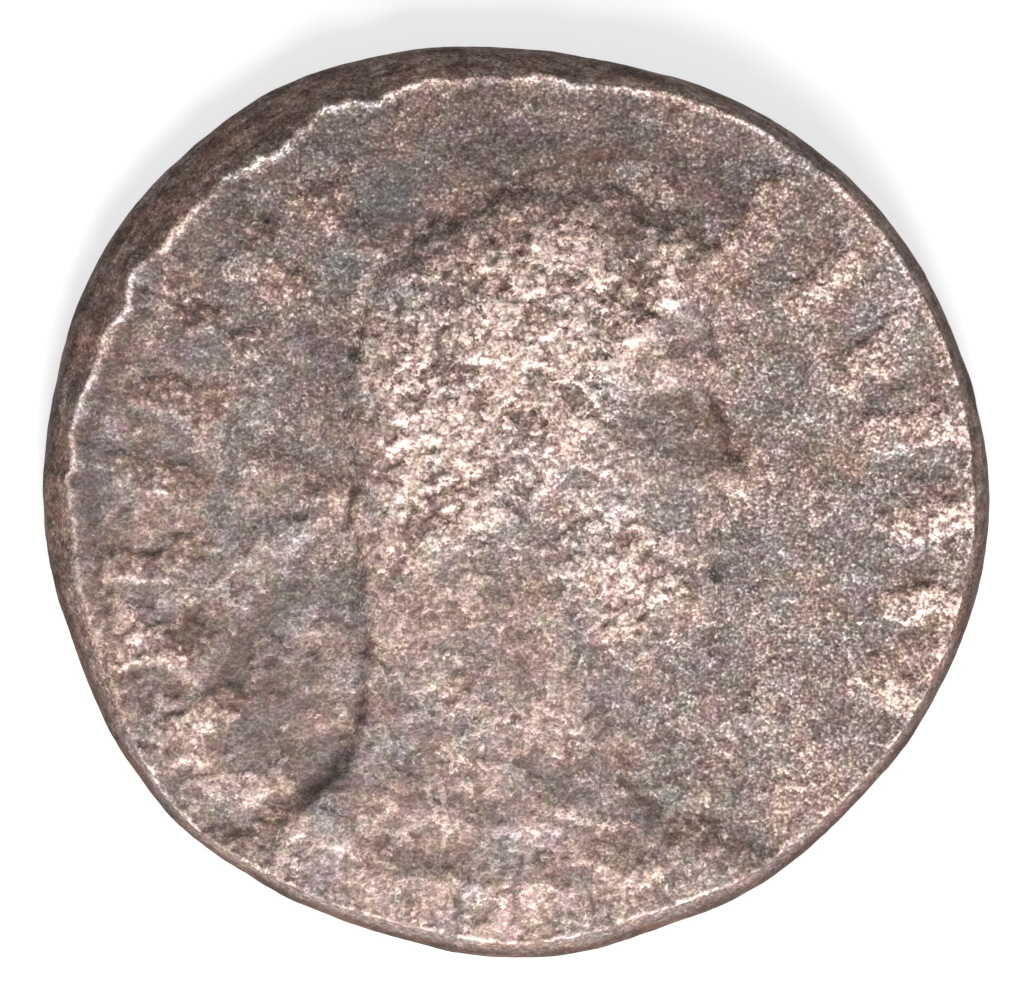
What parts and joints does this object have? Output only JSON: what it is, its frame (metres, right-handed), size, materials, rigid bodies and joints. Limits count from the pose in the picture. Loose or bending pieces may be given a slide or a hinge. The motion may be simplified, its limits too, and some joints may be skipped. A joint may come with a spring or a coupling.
{
  "type": "roman bronze coin",
  "caption": "Worn struck bronze coin: thick irregular flan with a sloping edge, a wreathed and draped bust facing right, and a smooth worn reverse",
  "frame": {"origin": "under the middle of the coin's box, on the surface that the reverse lies on", "axes": "+Z out of the portrait side, +X towards the coin's right, where the bust faces, +Y towards the top of its head"},
  "size_m": [0.0264, 0.0255, 0.0029],
  "materials": {
    "bronze": "worn, pitted bronze: pinkish brown on the high grains, dark grey brown in the hollows, with a few green and rusty spots"
  },
  "bodies": {
    "root": {"coin": "bronze"}
  },
  "joints": []
}
